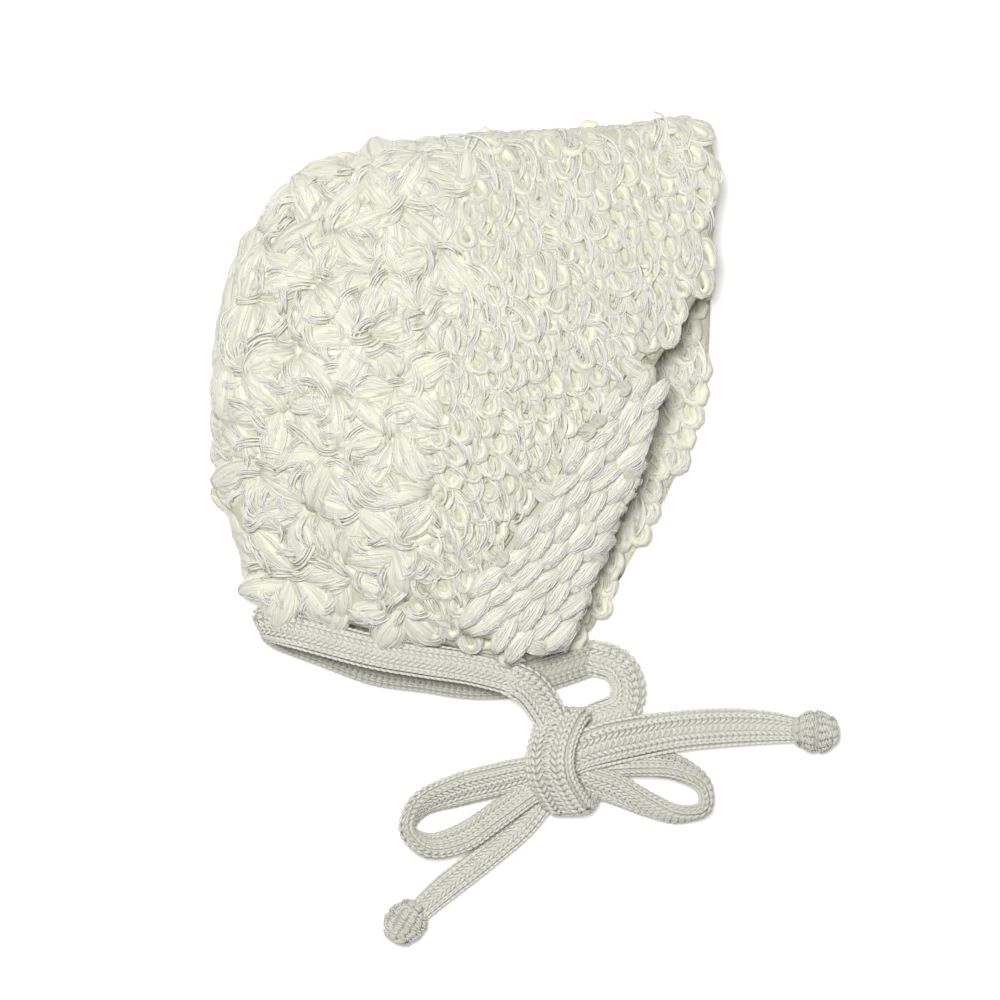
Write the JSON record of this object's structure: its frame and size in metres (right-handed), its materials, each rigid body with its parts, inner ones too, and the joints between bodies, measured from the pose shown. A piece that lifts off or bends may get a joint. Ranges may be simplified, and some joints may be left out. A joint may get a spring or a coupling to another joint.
{
  "type": "baby bonnet",
  "caption": "Soft crocheted baby bonnet lying on its side, with a puffed back, an open-stitch face band, a turned brim and a knitted tie cord fastened in a bow.",
  "frame": {"origin": "bottom centre of the bonnet's box as it lies on its left side, with its ties left out", "axes": "+X out of the face opening, +Y from the neck edge to the crown, +Z away from the surface it lies on"},
  "size_m": [0.1848, 0.2428, 0.0424],
  "materials": {
    "puff_stitch": "fluffy cream yarn with a fine glossy binder thread",
    "open_stitch": "fluffy cream yarn with a fine glossy binder thread",
    "brim_stitch": "loose fluffy cream loops",
    "tie_cord": "silky machine-knitted flat cord, off-white"
  },
  "bodies": {
    "root": {"crown_back": "puff_stitch", "face_band": "open_stitch", "turned_brim": "brim_stitch", "neck_band": "tie_cord", "near_tie": "tie_cord", "far_tie": "tie_cord", "right_tail": "tie_cord", "left_tail": "tie_cord", "right_loop": "tie_cord", "left_loop": "tie_cord", "bow_knot": "tie_cord", "right_end_knot": "tie_cord", "left_end_knot": "tie_cord"}
  },
  "joints": []
}
